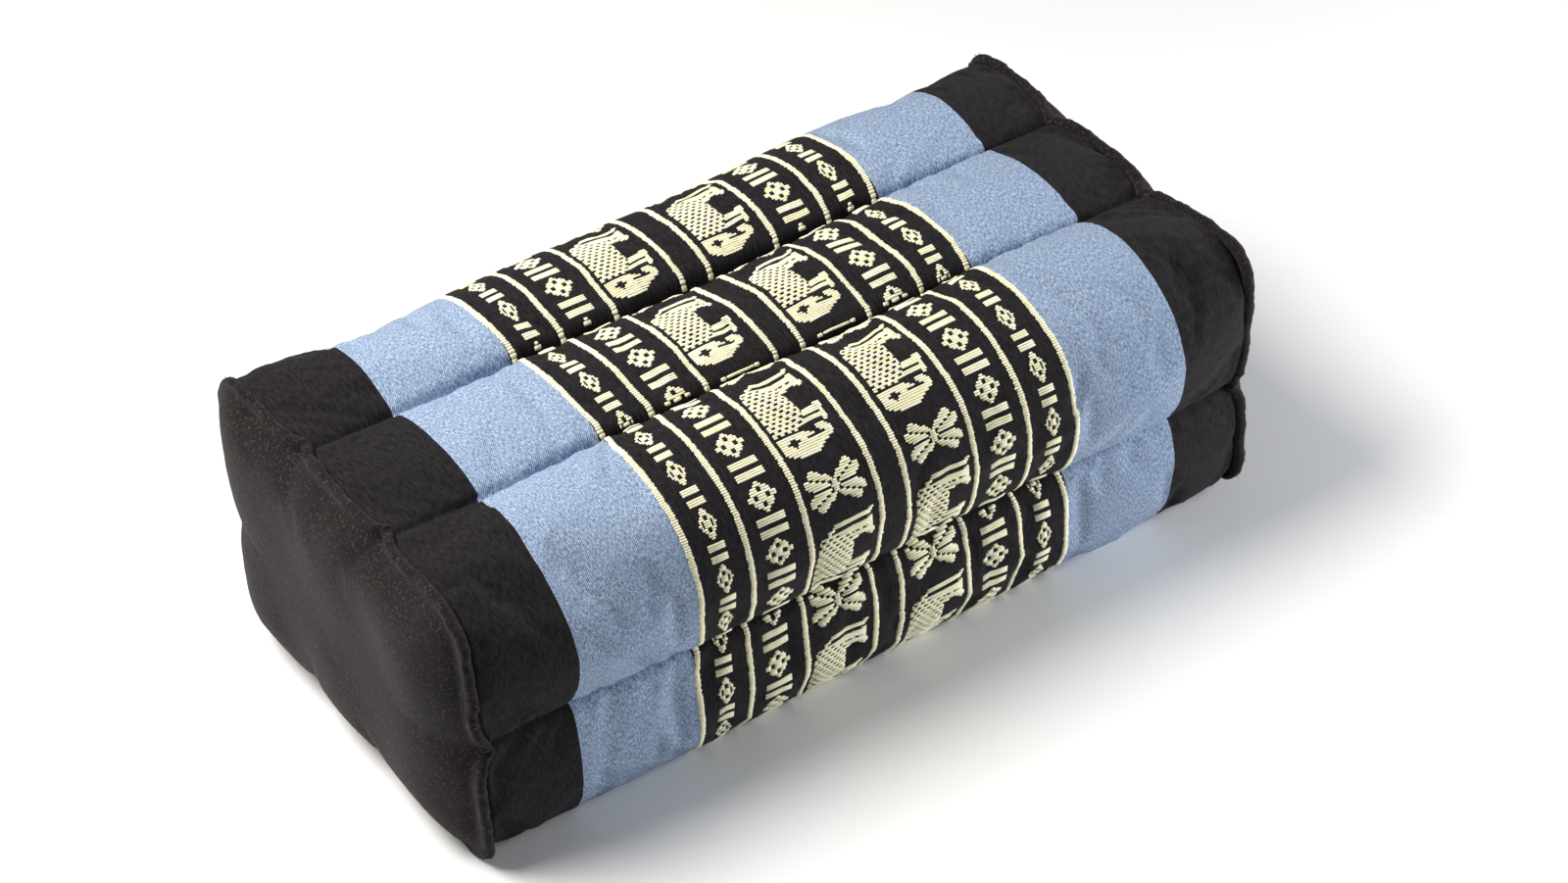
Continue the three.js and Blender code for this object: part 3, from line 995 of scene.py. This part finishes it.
class Nodes:
    """A material's nodes, added and joined with short calls."""

    def __init__(self, material, roughness, sheen=0.0):
        material.use_nodes = True
        self.tree = material.node_tree
        self.shader = self.tree.nodes["Principled BSDF"]
        self.shader.inputs["Roughness"].default_value = roughness
        self.shader.inputs["Specular IOR Level"].default_value = 0.25
        self.shader.inputs["Sheen Weight"].default_value = sheen
        self.shader.inputs["Sheen Roughness"].default_value = 0.5

    def join(self, value, socket):
        if isinstance(value, bpy.types.NodeSocket):
            self.tree.links.new(value, socket)
        else:
            socket.default_value = value

    def math(self, operation, a, b=0.0):
        node = self.tree.nodes.new("ShaderNodeMath")
        node.operation = operation
        self.join(a, node.inputs[0])
        self.join(b, node.inputs[1])
        return node.outputs[0]

    def uv(self):
        node = self.tree.nodes.new("ShaderNodeUVMap")
        node.uv_map = "cloth"
        return node.outputs[0]

    def split(self, vector):
        node = self.tree.nodes.new("ShaderNodeSeparateXYZ")
        self.join(vector, node.inputs[0])
        return node.outputs

    def object(self):
        return self.tree.nodes.new("ShaderNodeTexCoord").outputs["Object"]

    def stretched(self, vector, scale):
        node = self.tree.nodes.new("ShaderNodeMapping")
        node.inputs["Scale"].default_value = scale
        self.join(vector, node.inputs["Vector"])
        return node.outputs[0]

    def noise(self, vector, scale, detail=3.0):
        node = self.tree.nodes.new("ShaderNodeTexNoise")
        node.inputs["Scale"].default_value = scale
        node.inputs["Detail"].default_value = detail
        self.join(vector, node.inputs["Vector"])
        return node.outputs["Fac"]

    def ramp(self, value, stops, constant=False):
        node = self.tree.nodes.new("ShaderNodeValToRGB")
        node.color_ramp.interpolation = "CONSTANT" if constant else "LINEAR"
        while len(node.color_ramp.elements) < len(stops):
            node.color_ramp.elements.new(0.5)
        for element, (place, colour) in zip(node.color_ramp.elements, stops):
            element.position = place
            element.color = colour
        self.join(value, node.inputs[0])
        return node.outputs["Color"]

    def mix(self, share, a, b, blend="MIX"):
        node = self.tree.nodes.new("ShaderNodeMix")
        node.data_type = "RGBA"
        node.blend_type = blend
        self.join(share, node.inputs[0])
        self.join(a, node.inputs[6])
        self.join(b, node.inputs[7])
        return node.outputs[2]

    def finish(self, colour, height, strength, distance):
        self.join(colour, self.shader.inputs["Base Color"])
        bump = self.tree.nodes.new("ShaderNodeBump")
        bump.inputs["Strength"].default_value = strength
        bump.inputs["Distance"].default_value = distance
        self.join(height, bump.inputs["Height"])
        self.join(bump.outputs[0], self.shader.inputs["Normal"])


GREY = {level: [level / 100] * 3 + [1.0] for level in (0, 100)}
print("a shader's mid blue:", [round(c, 3) for c in srgb(120, 150, 195)[:3]])

# %% The striped sleeve
BLUE_FROM, BLUE_TO = 83.0, 134.0  # distances from the middle of the band
WARP = 0.9  # millimetres between two yarns


def weave_height(nodes, vector):
    x, v, _ = nodes.split(vector)
    wave = [nodes.math("SINE", nodes.math("MULTIPLY", axis, 2 * math.pi / (WARP * MM))) for axis in (x, v)]
    return nodes.math("MULTIPLY", wave[0], wave[1])


striped = bpy.data.materials.new("striped_cloth")
n = Nodes(striped, 0.95, 0.03)
cloth = n.uv()
x = n.split(cloth)[0]
waver = n.math("MULTIPLY", n.math("SUBTRACT", n.noise(n.stretched(cloth, (0, 1, 1)), 22.0, 2.0), 0.5), 0.0012)
away = n.math("ABSOLUTE", n.math("ADD", x, waver))
blue_share = n.ramp(
    n.math("DIVIDE", away, 0.2),
    [(0, GREY[0]), (BLUE_FROM * MM / 0.2, GREY[100]), (BLUE_TO * MM / 0.2, GREY[0])],
    constant=True,
)
streaks = n.noise(n.stretched(cloth, (1, 0.35, 1)), 1700.0, 2.0)
flecks = n.noise(n.stretched(cloth, (0.45, 1, 1)), 1900.0, 2.0)
heather = n.math("ADD", n.math("MULTIPLY", streaks, 0.6), n.math("MULTIPLY", flecks, 0.4))
blue = n.ramp(heather, [(0.36, srgb(94, 113, 143)), (0.5, srgb(146, 165, 192)), (0.64, srgb(196, 209, 228))])
clouds = n.noise(cloth, 30.0, 3.0)
blue = n.mix(n.math("MULTIPLY", clouds, 0.25), blue, srgb(126, 150, 186))
dark_grain = n.noise(n.stretched(cloth, (1, 0.3, 1)), 900.0, 2.0)
dark = n.ramp(dark_grain, [(0.35, srgb(10, 9, 11)), (0.7, srgb(37, 32, 36))])
n.finish(n.mix(blue_share, dark, blue), weave_height(n, cloth), 0.55, 0.00025)
sleeve_piece.data.materials.append(striped)
print("blue from", BLUE_FROM, "to", BLUE_TO, "mm out of the band's middle")

# %% [markdown]
# The panels are plain dark cotton, a little faded and linty, with brown showing at the raw edges. They read Object
# coordinates, because a plain weave has no design to follow. The cream yarn is brighter and softer, and every
# float differs a little from the next.

# %% Panel, yarn, thread and fibre
plain = bpy.data.materials.new("plain_dark_cloth")
n = Nodes(plain, 0.95, 0.04)
where = n.object()
fade = n.noise(where, 40.0, 4.0)
lint = n.noise(where, 1000.0, 2.0)
ground = n.ramp(fade, [(0.3, srgb(15, 12, 14)), (0.7, srgb(30, 25, 27))])
speck = n.ramp(lint, [(0.56, GREY[0]), (0.68, GREY[100])])
shade = n.mix(n.math("MULTIPLY", n.split(speck)[0], 0.5), ground, srgb(84, 72, 68))
n.finish(shade, n.noise(where, 1100.0, 2.0), 0.5, 0.0004)
for piece in (left_panel, right_panel):
    piece.data.materials.append(plain)

cream = bpy.data.materials.new("cream_yarn")
n = Nodes(cream, 0.85, 0.05)
tone = n.tree.nodes.new("ShaderNodeAttribute")
tone.attribute_name = "tone"
twist = n.noise(n.stretched(n.object(), (0.3, 1, 1)), 2600.0, 2.0)
yarn = n.ramp(tone.outputs["Fac"], [(0, srgb(247, 242, 202)), (1, srgb(255, 252, 231))])
n.finish(n.mix(n.math("MULTIPLY", twist, 0.3), yarn, srgb(240, 231, 180)), twist, 0.4, 0.0003)
for piece in yarn_pieces:
    piece.data.materials.append(cream)

n = Nodes(thread, 0.85)
shade = n.ramp(n.noise(n.object(), 1500.0, 2.0), [(0.3, srgb(18, 16, 20)), (0.7, srgb(44, 40, 46))])
n.finish(shade, n.noise(n.object(), 2500.0), 0.4, 0.0002)
n = Nodes(fibre, 0.9)
shade = n.ramp(n.noise(n.object(), 300.0, 2.0), [(0.3, srgb(34, 26, 25)), (0.7, srgb(96, 66, 58))])
n.finish(shade, n.noise(n.object(), 2500.0), 0.3, 0.0001)
print("finishes:", [material.name for material in bpy.data.materials if material.use_nodes])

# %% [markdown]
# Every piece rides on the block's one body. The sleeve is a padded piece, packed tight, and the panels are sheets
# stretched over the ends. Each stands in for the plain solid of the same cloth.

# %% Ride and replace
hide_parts("filled_sleeve")
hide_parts("end_panel_left")
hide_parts("end_panel_right")
for piece in (sleeve_piece, *yarn_pieces, stitches):
    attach(piece, "root")
for piece in (left_panel, right_panel, frayed):
    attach(piece, "root")

# %% [markdown]
# ## Floor, light and camera
# The block lies on a plain pale floor under soft studio light. A wide light above and behind on the left makes
# the top bright, and the long side that faces us stays in gentle shade. A low light on the right lifts the far end
# of that side a little. The camera was fitted to the block's edges.

# %% Floor and light
def floor():
    bpy.ops.mesh.primitive_plane_add(size=8, location=(0, 0, 0))
    obj = bpy.context.object
    obj.name = "studio_floor"
    pale = bpy.data.materials.new("pale_floor")
    nodes = Nodes(pale, 0.9)
    shade = nodes.ramp(nodes.noise(nodes.object(), 3.0), [(0, srgb(244, 244, 244)), (1, srgb(250, 250, 250))])
    nodes.join(shade, nodes.shader.inputs["Base Color"])
    obj.data.materials.append(pale)


def area_light(name, place, aim, size, watts, colour):
    data = bpy.data.lights.new(name, "AREA")
    data.shape = "DISK"
    data.size = size
    data.energy = watts
    data.color = colour
    obj = bpy.data.objects.new(name, data)
    obj.location = place
    obj.rotation_euler = (Vector(aim) - Vector(place)).to_track_quat("-Z", "Y").to_euler()
    bpy.context.scene.collection.objects.link(obj)


floor()
area_light("key", (-0.42, 0.25, 0.8), (-0.02, 0, 0.06), 0.6, 13.2, (1.0, 0.97, 0.93))
area_light("fill", (0.75, -0.38, 0.22), (0.14, -0.05, 0.06), 0.36, 6.5, (0.95, 0.97, 1.0))
world = bpy.data.worlds.new("studio")
bpy.context.scene.world = world
world.use_nodes = True
world.node_tree.nodes["Background"].inputs["Color"].default_value = (0.8, 0.9, 1, 1)
world.node_tree.nodes["Background"].inputs["Strength"].default_value = 0.07
bpy.context.scene.view_settings.view_transform = "Standard"

# %% Camera
AZIMUTH, ELEVATION, ROLL = -32.74, 40.08, -2.65  # degrees
DISTANCE, ASIDE, ABOVE = 1452.37, 12.99, -4.98  # millimetres
FOCAL = 3862.37  # in pixels of a frame 1600 wide
a, e, r = (math.radians(angle) for angle in (AZIMUTH, ELEVATION, ROLL))
back = Vector((math.sin(a) * math.cos(e), -math.cos(a) * math.cos(e), math.sin(e)))
right = (-back).cross(Vector((0, 0, 1))).normalized()
up = right.cross(-back)
eye = Vector((1.5, 0, 60)) + back * DISTANCE + right * ASIDE + up * ABOVE
turned = (right * math.cos(r) + up * math.sin(r), -right * math.sin(r) + up * math.cos(r), back)
camera = bpy.data.objects.new("camera", bpy.data.cameras.new("camera"))
camera.matrix_world = Matrix.Translation(eye * MM) @ Matrix(turned).transposed().to_4x4()
camera.data.sensor_width = 36
camera.data.lens = FOCAL / 1600 * 36
bpy.context.scene.collection.objects.link(camera)
bpy.context.scene.camera = camera
print("lens:", round(camera.data.lens, 1), "mm")
